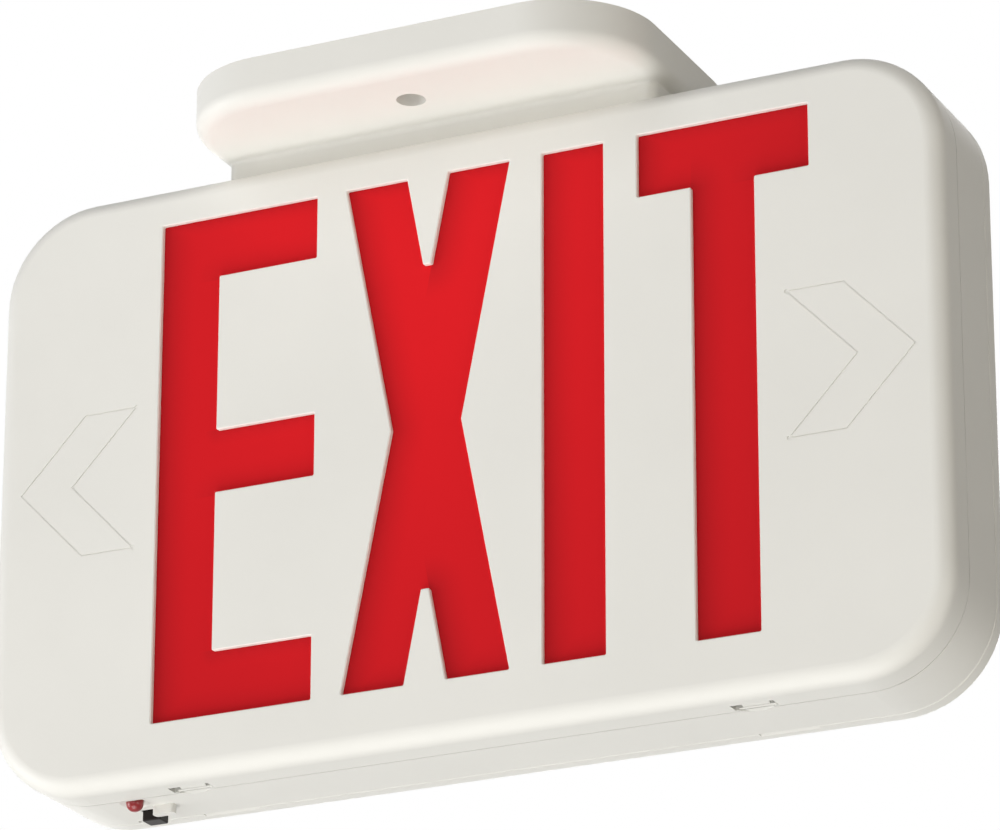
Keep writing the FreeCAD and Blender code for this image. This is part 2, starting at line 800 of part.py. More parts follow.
def canopy():
    """Moulded ceiling canopy with its neck, screw posts and wireway."""
    shell = upright(canopy_length, canopy_width, canopy_corner, -canopy_height, 0)
    shell = shell.makeFillet(canopy_fillet, edges_in_plane(shell, "z", -canopy_height))
    neck = upright(neck_length, neck_width, neck_corner, z_neck, -canopy_height + canopy_wall)
    body = shell.fuse(neck)
    body = body.makeFillet(neck_fillet, neck_root(body))
    cavity = upright(canopy_length - 2 * canopy_wall, canopy_width - 2 * canopy_wall,
                     canopy_corner - canopy_wall, -canopy_height + canopy_wall, 1)
    cavity = cavity.makeFillet(canopy_fillet - canopy_wall, edges_in_plane(cavity, "z", -canopy_height + canopy_wall))
    throat = upright(neck_length - 2 * canopy_wall, neck_width - 2 * canopy_wall, neck_corner / 2,
                     z_neck + canopy_wall, -canopy_height + canopy_wall + 1)
    body = body.cut([cavity, throat])
    for side in (-1, 1):
        y = side * ceiling_hole_spacing / 2
        post = rod(counterbore_radius + post_wall, 0, y, -canopy_height + canopy_wall / 2, 0)
        body = body.fuse(post)
        body = body.cut(rod(ceiling_hole_radius, 0, y, -canopy_height - 1, 1))
        body = body.cut(rod(counterbore_radius, 0, y, -canopy_height - 1, -canopy_height + counterbore_depth))
    for x in canopy_screw_xs:
        body = body.fuse(rod(canopy_boss_radius, x, y_hang, z_top, z_neck + canopy_wall + screw_bite))
        body = body.cut(rod(screw_radius - screw_gap, x, y_hang, z_top - 1, z_neck + screw_bite))
    body = body.fuse(rod(wireway_radius + wireway_wall, 0, y_hang, z_in_top, z_neck + canopy_wall))
    body = body.cut(rod(wireway_radius, 0, y_hang, z_in_top - 1, z_neck + canopy_wall + 1))
    return body.removeSplitter()


def canopy_screws():
    """The two screws that hold the canopy to the frame, from inside."""
    length = frame_wall + screw_bite
    return [placed_screw(length, V(x, y_hang, z_in_top), V(0, 0, -1)) for x in canopy_screw_xs]


def charger_board():
    """Charger and driver board on the back cover's stand-offs."""
    board = box(board_left, board_left + charger_length, y_board, y_board + board_thickness,
                board_bottom, board_bottom + charger_height)
    holes = [pin(screw_radius, x, z, y_board - 1, y_board + board_thickness + 1) for x, z in standoff_places()]
    return board.cut(holes)


def board_screws():
    """The four screws that hold the charger board."""
    length = board_thickness + standoff_height
    return [placed_screw(length, V(x, y_board, z), V(0, -1, 0)) for x, z in standoff_places()]


def transformer():
    """Flat mains transformer: laminated core round its moulded bobbin."""
    left = board_left + transformer_inset
    low = board_bottom + (charger_height - transformer_height) / 2
    margin = transformer_height / 6
    core = box(left, left + transformer_length, y_board - transformer_depth, y_board - 1, low + margin,
               low + transformer_height - margin)
    bobbin = box(left + margin, left + transformer_length - margin, y_board - transformer_depth + 1, y_board,
                 low, low + transformer_height)
    return core.fuse(bobbin)


def component_columns():
    """Left edges of the columns of parts on the board, to the right of the transformer."""
    first = board_left + transformer_inset + transformer_length + component_pitch
    second = first + relay_length + component_pitch
    return first, second


def filter_capacitors():
    """Two electrolytic capacitors lying on the board."""
    x = component_columns()[0] + capacitor_radius
    low = board_bottom + standoff_inset * 2
    return [Part.makeCylinder(capacitor_radius, capacitor_length,
                              V(x + index * capacitor_spacing, y_board - capacitor_radius, low), V(0, 0, 1))
            for index in range(2)]


def transfer_relay():
    """Relay that switches the LEDs over to the battery."""
    x = component_columns()[0]
    top = board_bottom + charger_height - standoff_inset * 2
    return box(x, x + relay_length, y_board - relay_depth, y_board, top - relay_height, top)


def fuse_link():
    """Tubular fuse on the board's supply side."""
    x = component_columns()[0]
    z = board_bottom + charger_height / 2
    y = y_board - fuse_radius
    return Part.makeCylinder(fuse_radius, fuse_length, V(x, y, z), V(1, 0, 0))


def header_place():
    """Centre of the battery header on the board's right edge: x of its mouth, y, z."""
    return board_left + charger_length, y_board - header_depth / 2, board_bottom + charger_height / 2


def battery_header():
    """Socket on the board for the battery lead."""
    x, y, z = header_place()
    return box(x - header_length, x, y - header_depth / 2, y_board, z - header_height / 2, z + header_height / 2)


def battery_plug():
    """Plug of the battery lead, seated against the header."""
    x, y, z = header_place()
    return box(x, x + plug_length, y - header_depth / 2 + 0.5, y + header_depth / 2 - 0.5,
               z - header_height / 2 + 0.5, z + header_height / 2 - 0.5)


def battery_lead():
    """Sleeved lead from the plug to the pack: two straight runs joined by two equal bends."""
    x, y, z = header_place()
    start = V(x + plug_length, y, z)
    end = V(battery_left, y, battery_bottom + cell_radius)
    middle = (start + end) * 0.5
    rise = end.z - start.z
    turn = math.acos(1 - abs(rise) / (2 * lead_bend))
    side = math.copysign(1, rise)
    first = V(middle.x - lead_bend * math.sin(turn), y, start.z)
    last = V(middle.x + lead_bend * math.sin(turn), y, end.z)
    half = turn / 2
    first_mid = first + V(lead_bend * math.sin(half), 0, side * lead_bend * (1 - math.cos(half)))
    last_mid = last - V(lead_bend * math.sin(half), 0, side * lead_bend * (1 - math.cos(half)))
    path = [Part.makeLine(start, first),
            Part.Arc(first, first_mid, middle).toShape(),
            Part.Arc(middle, last_mid, last).toShape(),
            Part.makeLine(last, end)]
    section = Part.Wire(Part.makeCircle(lead_radius, start, V(1, 0, 0)))
    return Part.Wire(path).makePipeShell([section], True, False)


def battery_pack():
    """Row of rechargeable cells in a shrink wrap, sealed into one block."""
    radius = cell_radius + wrap_thickness
    first = battery_left + radius
    last = battery_right - radius
    body = box(first, last, y_battery - radius * 0.86, y_battery + radius * 0.86, battery_bottom, battery_top)
    for index in range(cell_count):
        body = body.fuse(rod(radius, first + index * cell_pitch, y_battery, battery_bottom, battery_top))
    return body.removeSplitter()


def battery_strap():
    """Bent strap over the pack with a foot on each side."""
    front = y_battery - cell_radius - wrap_thickness - cradle_gap
    left, right = strap_post_xs()
    foot = strap_foot_y()
    low = strap_z - strap_width / 2
    high = strap_z + strap_width / 2
    inner_left = battery_left - cradle_gap
    inner_right = battery_right + cradle_gap
    strap = box(inner_left - strap_thickness, inner_right + strap_thickness, front - strap_thickness, front, low, high)
    for side_x in (inner_left - strap_thickness, inner_right):
        strap = strap.fuse(box(side_x, side_x + strap_thickness, front, foot + strap_thickness, low, high))
    strap = strap.fuse([box(left - strap_foot / 2, inner_left, foot, foot + strap_thickness, low, high),
                        box(inner_right, right + strap_foot / 2, foot, foot + strap_thickness, low, high)])
    holes = [pin(screw_radius, x, strap_z, foot - 1, foot + 1 + strap_thickness) for x in (left, right)]
    return strap.cut(holes).removeSplitter()


def strap_screws():
    """The two screws of the battery strap."""
    length = cradle_height - strap_thickness
    return [placed_screw(length, V(x, strap_foot_y(), strap_z), V(0, -1, 0)) for x in strap_post_xs()]


nodes = {
    "canopy": canopy,
    "canopy_screws": canopy_screws,
    "front_cover": front_cover,
    "legend_lens": legend_lens,
    "housing_frame": housing_frame,
    "back_cover": back_cover,
    "reflector_panel": reflector_panel,
    "reflector_screws": reflector_screws,
    "led_strip_top": led_strip_top,
    "led_strip_bottom": led_strip_bottom,
    "led_packages_top": led_packages_top,
    "led_packages_bottom": led_packages_bottom,
    "test_button": test_button,
    "test_switch": test_switch,
    "switch_board": switch_board,
    "indicator_led": indicator_led,
    "charger_board": charger_board,
    "board_screws": board_screws,
    "transformer": transformer,
    "filter_capacitors": filter_capacitors,
    "transfer_relay": transfer_relay,
    "fuse_link": fuse_link,
    "battery_header": battery_header,
    "battery_plug": battery_plug,
    "battery_lead": battery_lead,
    "battery_pack": battery_pack,
    "battery_strap": battery_strap,
    "strap_screws": strap_screws,
}

os.makedirs("parts", exist_ok=True)
for name, make in nodes.items():
    made = make()
    shape = Part.makeCompound(made) if isinstance(made, list) else made
    shape.exportStep("parts/" + name + ".step")
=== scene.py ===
"""Ceiling-mounted emergency exit light: finishes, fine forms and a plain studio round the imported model.

Metres, +Z up, the sign's face towards -Y, the origin at the centre of the canopy's ceiling face.
"""
import math

import bpy
import numpy as np
from bpy.props import FloatProperty, FloatVectorProperty, PointerProperty
from mathutils import Matrix, Vector


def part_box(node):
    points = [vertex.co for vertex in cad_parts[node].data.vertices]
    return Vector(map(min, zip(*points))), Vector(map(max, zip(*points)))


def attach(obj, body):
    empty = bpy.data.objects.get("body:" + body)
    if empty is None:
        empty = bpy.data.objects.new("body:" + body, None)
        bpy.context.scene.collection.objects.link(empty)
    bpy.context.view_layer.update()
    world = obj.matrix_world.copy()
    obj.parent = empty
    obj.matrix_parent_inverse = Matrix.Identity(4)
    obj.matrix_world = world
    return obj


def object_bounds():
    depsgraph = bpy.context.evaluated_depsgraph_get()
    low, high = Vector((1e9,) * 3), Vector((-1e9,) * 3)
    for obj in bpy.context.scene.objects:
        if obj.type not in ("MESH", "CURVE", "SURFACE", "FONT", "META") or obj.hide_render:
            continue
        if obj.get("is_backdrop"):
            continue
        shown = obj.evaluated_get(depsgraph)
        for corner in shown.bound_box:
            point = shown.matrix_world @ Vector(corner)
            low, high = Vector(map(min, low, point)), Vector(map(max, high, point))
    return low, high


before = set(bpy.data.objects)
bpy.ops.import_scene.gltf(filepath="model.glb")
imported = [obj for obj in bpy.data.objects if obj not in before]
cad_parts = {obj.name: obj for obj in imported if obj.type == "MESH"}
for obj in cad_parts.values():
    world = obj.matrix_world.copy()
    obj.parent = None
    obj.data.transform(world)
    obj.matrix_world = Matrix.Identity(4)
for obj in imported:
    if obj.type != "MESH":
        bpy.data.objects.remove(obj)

bl_info = {
    "name": "Emergency exit light",
    "version": (1, 0, 0),
    "blender": (4, 5, 0),
    "location": "View3D > Sidebar > Exit Light",
    "description": "Finishes, fine forms and studio for a ceiling-mounted emergency exit light",
    "category": "Object",
}

SIGN = "sign"
SHARP_ANGLE = math.radians(40)
CAD_LOW, CAD_HIGH = (Vector(corner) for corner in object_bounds())

# Mouldings: how far the gloss strays below and above its middle, the size in metres of the drift of tone,
# and the coarse grain's scale and height as shares of the fine grain's.
GLOSS_BELOW = 0.04
GLOSS_ABOVE = 0.05
DRIFT_SIZE = 0.07
COARSE_SCALE = 0.23
COARSE_SHARE = 0.7

# Neck root: points along and round the blend, and how deep its closing point is buried, as a share of
# the radius.
ROOT_STEPS_ALONG = 121
ROOT_STEPS_ROUND = 25
ROOT_BURIED = 0.3

# Legend panel, in metres: the letter E's lower left corner from the front cover's lowest corner, the place
# of the brightest red of a painted glow from the panel's middle, and the distances from it where this
# painted light starts and ends fading to the dim red.
LEGEND_CORNER = (0.0532, 0.0, 0.0173)
BRIGHTEST = (-0.008, 0.0, 0.035)
GLOW_FADES_FROM = 0.01
GLOW_FADES_TO = 0.15

# Shade along the letters' edges: reach in metres and amount, the overlap over an edge, and the share of the
# shade that falls on green and blue.
LEFT_SHADE = (0.011, 0.25)
TOP_SHADE = (0.005, 0.20)
BOTTOM_SHADE = (0.009, 0.13)
SHADE_POWER = 1.5
EDGE_SLACK = 0.0005
SHADE_ON_BLUE = 0.3

# Half width of the floor in metres, and its points along each side.
FLOOR_REACH = 9
FLOOR_STEPS = 7


def rgb(red, green, blue):
    """Linear colour of an 8-bit display colour."""
    values = []
    for level in (red, green, blue):
        share = level / 255
        values.append(share / 12.92 if share <= 0.04045 else ((share + 0.055) / 1.055) ** 2.4)
    return tuple(values)


# ---------------------------------------------------------------- settings


def colour_setting(name, description, value):
    """A colour property with its default as a linear colour."""
    return FloatVectorProperty(name=name, description=description, subtype="COLOR", size=3,
                               min=0.0, max=1.0, default=value)


def length_setting(name, description, value):
    """A length property in metres."""
    return FloatProperty(name=name, description=description, default=value, min=0.0, unit="LENGTH",
                         precision=5)


def share_setting(name, description, value):
    """A property between 0 and 1."""
    return FloatProperty(name=name, description=description, default=value, min=0.0, max=1.0,
                         subtype="FACTOR")


def power_setting(name, description, value):
    """The power of a lamp in watts."""
    return FloatProperty(name=name, description=description, default=value, min=0.0, unit="POWER")


class MouldingSettings(bpy.types.PropertyGroup):
    """Sizes and colours of the white mouldings."""

    white: colour_setting("Moulding white", "Warm white of the housing and the canopy", rgb(236, 235, 230))
    reflector: colour_setting("Reflector white", "Colder white of the plate behind the legend",
                              rgb(240, 241, 241))
    roughness: share_setting("Roughness", "Roughness of the spark-eroded mould texture", 0.46)
    grain_size: length_setting("Grain size", "Pitch of the mould texture", 0.0004)
    grain_height: length_setting("Grain height", "Depth of the mould texture", 0.000012)
    drift: share_setting("Tone drift", "How far the white varies over the moulding", 0.10)


class LegendSettings(bpy.types.PropertyGroup):
    """Sizes and colours of the red legend panel and the indicator."""

    # The legend red and the dim red are the two ends of a painted glow: bright at the middle, dimmer
    # outwards.
    red: colour_setting("Legend red", "Red at the middle of the translucent panel", rgb(229, 32, 39))
    painted_dim_red: colour_setting("Outer red", "Red towards the ends of the panel", rgb(201, 30, 37))
    indicator: colour_setting("Indicator red", "Colour of the charge indicator's lens", rgb(150, 16, 22))
    roughness: share_setting("Panel roughness", "Roughness of the panel's matt front", 0.5)


class InsideSettings(bpy.types.PropertyGroup):
    """Colours of the parts on the boards and round the battery."""

    board: colour_setting("Solder mask", "Green of the circuit boards", rgb(28, 98, 58))
    battery: colour_setting("Battery wrap", "Shrink wrap of the battery pack", rgb(58, 120, 84))
    button: colour_setting("Button black", "Black of the test button", rgb(25, 20, 16))
    steel: colour_setting("Zinc plate", "Plated screws and strap", rgb(186, 188, 190))


class StudioSettings(bpy.types.PropertyGroup):
    """Lamps, floor and camera."""

    side: power_setting("Side lamp", "Soft lamp that rakes the face from the left", 11.3)
    front: power_setting("Front lamp", "Soft lamp in front of the sign", 14.2)
    under: power_setting("Under lamp", "Soft lamp under the sign", 22.5)
    top: power_setting("Top lamp", "Small lamp over the canopy's front", 3.8)
    right: power_setting("Right lamp", "Warm lamp on the right", 11.3)
    back: power_setting("Back lamp", "Soft lamp behind the sign", 34.0)
    glow: FloatProperty(name="Floor glow", description="Light of the floor, seen and in reflections only",
                        default=0.72, min=0.0)
    ambient: FloatProperty(name="Ambient", description="Light of the surroundings", default=0.02, min=0.0)
    floor: colour_setting("Floor", "Colour of the floor", (0.82, 0.82, 0.81))
    floor_drop: length_setting("Floor drop", "Height of the ceiling face over the floor", 2.5)
    lens: FloatProperty(name="Focal length", description="Focal length of the camera in millimetres",
                        default=199.3, min=1.0)
    yaw: FloatProperty(name="Camera yaw", description="Camera's turn to the left of the sign's normal",
                       default=math.radians(25.528), subtype="ANGLE", unit="ROTATION")
    pitch: FloatProperty(name="Camera pitch", description="Camera's upward tilt",
                         default=math.radians(21.388), subtype="ANGLE", unit="ROTATION")
    roll: FloatProperty(name="Camera roll", description="Camera's turn about its own axis",
                        default=math.radians(0.086), subtype="ANGLE", unit="ROTATION")
    place: FloatVectorProperty(name="Camera place", description="Place of the camera", size=3,
                               subtype="TRANSLATION", unit="LENGTH", default=(0.64129, -1.31525, -0.67201))


# ---------------------------------------------------------------- node helpers


def new_group(name, inputs, outputs):
    """A shader node group with named sockets, and its input and output nodes."""
    group = bpy.data.node_groups.new(name, "ShaderNodeTree")
    for label, kind, value in inputs:
        socket = group.interface.new_socket(name=label, in_out="INPUT", socket_type=kind)
        socket.default_value = value
    for label, kind in outputs:
        group.interface.new_socket(name=label, in_out="OUTPUT", socket_type=kind)
    entry = group.nodes.new("NodeGroupInput")
    leave = group.nodes.new("NodeGroupOutput")
    return group, entry, leave


def add(tree, kind, values=(), links=(), **settings):
    """A node with its settings, its plain input values and its incoming links."""
    node = tree.nodes.new(kind)
    for key, value in settings.items():
        setattr(node, key, value)
    for socket, value in values:
        node.inputs[socket].default_value = value
    for socket, source in links:
        tree.links.new(source, node.inputs[socket])
    return node


def maths(tree, operation, first, second):
    """A Math node between two sources or numbers; returns its output."""
    node = tree.nodes.new("ShaderNodeMath")
    node.operation = operation
    for index, source in enumerate((first, second)):
        if isinstance(source, (int, float)):
            node.inputs[index].default_value = source
        else:
            tree.links.new(source, node.inputs[index])
    return node.outputs[0]


def mixed(tree, share, first, second, blend="MIX"):
    """A colour Mix node; returns its colour output."""
    node = tree.nodes.new("ShaderNodeMix")
    node.data_type = "RGBA"
    node.blend_type = blend
    for socket, source in zip((node.inputs[0], node.inputs[6], node.inputs[7]), (share, first, second)):
        if isinstance(source, bpy.types.NodeSocket):
            tree.links.new(source, socket)
        elif isinstance(source, (int, float)):
            socket.default_value = source
        else:
            socket.default_value = (*source, 1.0)
    return node.outputs[2]


def tone_drift_group():
    """Slow change of a colour over a piece: the colour is darkened by a share of a soft noise."""
    group, entry, leave = new_group(
        "tone_drift",
        [("Colour", "NodeSocketColor", (0.8, 0.8, 0.8, 1)), ("Amount", "NodeSocketFloat", 0.1),
         ("Size", "NodeSocketFloat", 0.05)],
        [("Colour", "NodeSocketColor")])
    place = add(group, "ShaderNodeTexCoord")
    scale = maths(group, "DIVIDE", 1.0, entry.outputs["Size"])
    noise = add(group, "ShaderNodeTexNoise", values=[("Detail", 3.0), ("Roughness", 0.55)],
                links=[("Vector", place.outputs["Object"]), ("Scale", scale)])
    share = maths(group, "MULTIPLY", noise.outputs["Fac"], entry.outputs["Amount"])
    keep = maths(group, "SUBTRACT", 1.0, share)
    shade = add(group, "ShaderNodeCombineColor", links=[("Red", keep), ("Green", keep), ("Blue", keep)])
    colour = mixed(group, 1.0, entry.outputs["Colour"], shade.outputs["Color"], "MULTIPLY")
    group.links.new(colour, leave.inputs["Colour"])
    return group


def mould_grain_group():
    """Spark-eroded mould texture: a fine noise pressed over a coarser one, as a height in metres."""
    group, entry, leave = new_group(
        "mould_grain",
        [("Size", "NodeSocketFloat", 0.0004), ("Height", "NodeSocketFloat", 0.00001)],
        [("Height", "NodeSocketFloat"), ("Mask", "NodeSocketFloat")])
    place = add(group, "ShaderNodeTexCoord")
    fine_scale = maths(group, "DIVIDE", 1.0, entry.outputs["Size"])
    coarse_scale = maths(group, "MULTIPLY", fine_scale, COARSE_SCALE)
    fine = add(group, "ShaderNodeTexNoise", values=[("Detail", 2.0)],
               links=[("Vector", place.outputs["Object"]), ("Scale", fine_scale)])
    coarse = add(group, "ShaderNodeTexNoise", values=[("Detail", 1.0)],
                 links=[("Vector", place.outputs["Object"]), ("Scale", coarse_scale)])
    under = maths(group, "MULTIPLY", coarse.outputs["Fac"], COARSE_SHARE)
    total = maths(group, "ADD", fine.outputs["Fac"], under)
    group.links.new(maths(group, "MULTIPLY", total, entry.outputs["Height"]), leave.inputs["Height"])
    group.links.new(fine.outputs["Fac"], leave.inputs["Mask"])
    return group


def recess_shade_group():
    """Shade that one straight edge of an opening lays on the panel behind it.

    With d the distance from the nearest point of the edge, the shade is Amount * (1 - d / Reach) to the
    shade power on the edge's inward side while d is within the reach, and 0 elsewhere.
    """
    group, entry, leave = new_group(
        "recess_shade",
        [("Point", "NodeSocketVector", (0, 0, 0)), ("Start", "NodeSocketVector", (0, 0, 0)),
         ("Along", "NodeSocketVector", (1, 0, 0)), ("Inward", "NodeSocketVector", (0, 0, 1)),
         ("Length", "NodeSocketFloat", 0.1), ("Reach", "NodeSocketFloat", 0.01),
         ("Amount", "NodeSocketFloat", 0.3)],
        [("Shade", "NodeSocketFloat")])
    offset = add(group, "ShaderNodeVectorMath", operation="SUBTRACT",
                 links=[(0, entry.outputs["Point"]), (1, entry.outputs["Start"])])
    along = add(group, "ShaderNodeVectorMath", operation="DOT_PRODUCT",
                links=[(0, offset.outputs["Vector"]), (1, entry.outputs["Along"])]).outputs["Value"]
    inward = add(group, "ShaderNodeVectorMath", operation="DOT_PRODUCT",
                 links=[(0, offset.outputs["Vector"]), (1, entry.outputs["Inward"])]).outputs["Value"]
    beyond = maths(group, "MAXIMUM", maths(group, "SUBTRACT", along, entry.outputs["Length"]),
                   maths(group, "MAXIMUM", maths(group, "MULTIPLY", along, -1.0), 0.0))
    squares = maths(group, "ADD", maths(group, "MULTIPLY", beyond, beyond),
                    maths(group, "MULTIPLY", inward, inward))
    distance = maths(group, "POWER", squares, 0.5)
    fade = add(group, "ShaderNodeMapRange", values=[("To Min", 1.0), ("To Max", 0.0)],
               links=[("Value", distance), ("From Max", entry.outputs["Reach"])]).outputs["Result"]
    shade = maths(group, "MULTIPLY", maths(group, "POWER", fade, SHADE_POWER), entry.outputs["Amount"])
    side = maths(group, "GREATER_THAN", inward, -EDGE_SLACK)
    group.links.new(maths(group, "MULTIPLY", shade, side), leave.inputs["Shade"])
    return group


def group_node(tree, name, values=(), links=()):
    """A shared group placed in a material."""
    node = tree.nodes.new("ShaderNodeGroup")
    node.node_tree = bpy.data.node_groups[name]
    for socket, value in values:
        node.inputs[socket].default_value = value
    for socket, source in links:
        tree.links.new(source, node.inputs[socket])
    return node


def new_material(name, **sockets):
    """A material with its tree, shader and plain values on the shader's sockets."""
    material = bpy.data.materials.new(name)
    material.use_nodes = True
    tree = material.node_tree
    shader = next(node for node in tree.nodes if node.type == "BSDF_PRINCIPLED")
    for socket, value in sockets.items():
        shader.inputs[socket.replace("_", " ")].default_value = value
    return material, tree, shader


def moulded_plastic(name, colour, settings, roughness, drift=None, grain=1.0, **sockets):
    """Textured moulding: drifting tone, fine grain in the bump and a slight change of gloss."""
    material, tree, shader = new_material(name, **sockets)
    amount = settings.drift if drift is None else drift
    tone = group_node(tree, "tone_drift",
                      values=[("Colour", (*colour, 1)), ("Amount", amount), ("Size", DRIFT_SIZE)])
    tree.links.new(tone.outputs["Colour"], shader.inputs["Base Color"])
    texture = group_node(tree, "mould_grain",
                         values=[("Size", settings.grain_size), ("Height", settings.grain_height * grain)])
    bump = add(tree, "ShaderNodeBump", values=[("Strength", 1.0), ("Distance", 1.0)],
               links=[("Height", texture.outputs["Height"])])
    tree.links.new(bump.outputs["Normal"], shader.inputs["Normal"])
    gloss = add(tree, "ShaderNodeMapRange",
                values=[("To Min", roughness - GLOSS_BELOW), ("To Max", roughness + GLOSS_ABOVE)],
                links=[("Value", texture.outputs["Mask"])])
    tree.links.new(gloss.outputs["Result"], shader.inputs["Roughness"])
    return material


def plated_steel(name, colour):
    """Zinc-plated steel with a spangle in its gloss."""
    material, tree, shader = new_material(name, Metallic=1.0)
    place = add(tree, "ShaderNodeTexCoord")
    cells = add(tree, "ShaderNodeTexVoronoi", values=[("Scale", 900.0)],
                links=[("Vector", place.outputs["Object"])])
    tone = mixed(tree, cells.outputs["Distance"], colour, tuple(level * 0.8 for level in colour))
    tree.links.new(tone, shader.inputs["Base Color"])
    gloss = add(tree, "ShaderNodeMapRange", values=[("To Min", 0.28), ("To Max", 0.42)],
                links=[("Value", cells.outputs["Distance"])])
    tree.links.new(gloss.outputs["Result"], shader.inputs["Roughness"])
    return material


def dress(material, *nodes):
    """Puts a material into every slot of some CAD nodes."""
    for node in nodes:
        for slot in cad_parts[node].material_slots:
            slot.material = material


# ---------------------------------------------------------------- surface helpers


def grid_faces(rows, columns, wrap_rows=False):
    """Quads over a grid of points, numbered row by row, closed round over the rows where asked."""
    strips = rows if wrap_rows else rows - 1
    r, c = np.meshgrid(np.arange(strips), np.arange(columns - 1), indexing="ij")
    start = r * columns + c
    after = (r + 1) % rows * columns + c
    return np.stack([start, start + 1, after + 1, after], axis=-1).reshape(-1, 4)


def surface(name, points, material, body, wrap_rows=False, flip=False):
    """A mesh over a grid of points, smooth but for its sharp edges."""
    quads = grid_faces(*points.shape[:2], wrap_rows)
    if flip:
        quads = quads[:, ::-1]
    mesh = bpy.data.meshes.new(name)
    mesh.from_pydata(points.reshape(-1, 3).tolist(), [], quads.tolist())
    mesh.polygons.foreach_set("use_smooth", np.ones(len(quads), bool))
    mesh.set_sharp_from_angle(angle=SHARP_ANGLE)
    mesh.update()
    made = bpy.data.objects.new(name, mesh)
    bpy.context.scene.collection.objects.link(made)
    made.data.materials.append(material)
    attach(made, body)


# ---------------------------------------------------------------- operators


class EXITLIGHT_OT_mouldings(bpy.types.Operator):
    """Gives the canopy, covers, frame and reflector their moulded finish"""

    bl_idname = "exitlight.mouldings"
    bl_label = "White mouldings"

    def execute(self, context):
        settings = context.scene.exitlight_moulding
        tone_drift_group()
        mould_grain_group()
        white = moulded_plastic("moulded_white", settings.white, settings, settings.roughness,
                                Specular_IOR_Level=0.3)
        dress(white, "canopy", "front_cover", "housing_frame", "back_cover")
        plate = moulded_plastic("reflector_white", settings.reflector, settings, 0.6, grain=0.4)
        dress(plate, "reflector_panel")
        return {"FINISHED"}


class EXITLIGHT_OT_neck_root(bpy.types.Operator):
    """Adds the wide concave blend along both sides of the neck, under the canopy"""

    bl_idname = "exitlight.neck_root"
    bl_label = "Neck root"

    half_length: length_setting("Half length", "Half the length of the blend", 0.0668)
    half_width: length_setting("Neck half width", "Half the neck's width", 0.0144)
    underside: length_setting("Underside depth", "Depth of the canopy's underside", 0.0138)
    radius: length_setting("Radius", "Radius of the blend along the sides", 0.0016)
    end_radius: length_setting("End radius", "Radius where the blend dies away at its ends", 0.0005)
    run_out: length_setting("Run-out", "Length over which the radius dies away", 0.009)

    def execute(self, context):
        x = np.linspace(-self.half_length, self.half_length, ROOT_STEPS_ALONG)
        # Radius R along x: it rises from the end radius to the full one over the run-out, as 3 u^2 - 2 u^3.
        u = np.clip((self.half_length - np.abs(x)) / self.run_out, 0, 1)
        radius = self.end_radius + (self.radius - self.end_radius) * u * u * (3 - 2 * u)
        turn = np.linspace(0, math.pi / 2, ROOT_STEPS_ROUND)
        # Section: out = R (1 - cos t), down = R (1 - sin t), closed by a point buried in the moulding.
        out = np.append(1 - np.cos(turn), -ROOT_BURIED)[:, None] * radius[None, :]
        down = np.append(1 - np.sin(turn), -ROOT_BURIED)[:, None] * radius[None, :]
        for side, name in ((-1, "neck_root_front"), (1, "neck_root_back")):
            y = side * (self.half_width + out)
            points = np.stack([np.broadcast_to(x, out.shape), y, -self.underside - down], axis=-1)
            surface(name, points, bpy.data.materials["moulded_white"], SIGN,
                    wrap_rows=True, flip=side > 0)
        return {"FINISHED"}


def letter_edges():
    """Edges of the letters that shade the panel: start, end, inward direction, reach and amount.

    Lengths are metres from the lower left corner of the letter E.
    """
    low, high, stroke = 0.0, 0.1524, 0.01905
    middle = high / 2
    arms = (low, middle - stroke / 2, high - stroke)
    e_right = 0.0506
    x_left, x_right, x_arm, x_waist, x_flat, x_notch = 0.0600, 0.1118, 0.0194, 0.0109, 0.00125, 0.0274
    x_middle = (x_left + x_right) / 2
    i_left = 0.1218
    t_left, t_right = 0.1512, 0.2030
    t_stem = (t_left + t_right - stroke) / 2
    left = [((0.0, low), (0.0, high)), ((i_left, low), (i_left, high)),
            ((t_left, arms[2]), (t_left, high)), ((t_stem, low), (t_stem, arms[2])),
            ((x_left, low), (x_middle - x_waist, middle)), ((x_middle - x_waist, middle), (x_left, high)),
            ((x_right - x_arm, low), (x_middle + x_flat, x_notch)),
            ((x_middle + x_flat, high - x_notch), (x_right - x_arm, high))]
    spans = [(x_left, x_left + x_arm), (x_right - x_arm, x_right), (i_left, i_left + stroke)]
    heads = [(0.0, e_right), (t_left, t_right), *spans]
    top = [((start, high), (end, high)) for start, end in heads]
    top += [((stroke, arm + stroke), (e_right, arm + stroke)) for arm in arms[:2]]
    feet = [(0.0, e_right), (t_stem, t_stem + stroke), *spans]
    bottom = [((start, low), (end, low)) for start, end in feet]
    bottom += [((stroke, arm), (e_right, arm)) for arm in arms[1:]]
    bottom += [((t_left, arms[2]), (t_stem, arms[2])),
               ((t_stem + stroke, arms[2]), (t_right, arms[2]))]
    edges = []
    for start, end in left:
        run = Vector((end[0] - start[0], end[1] - start[1])).normalized()
        edges.append((start, end, (run.y, -run.x), *LEFT_SHADE))
    edges += [(start, end, (0.0, -1.0), *TOP_SHADE) for start, end in top]
    edges += [(start, end, (0.0, 1.0), *BOTTOM_SHADE) for start, end in bottom]
    return edges


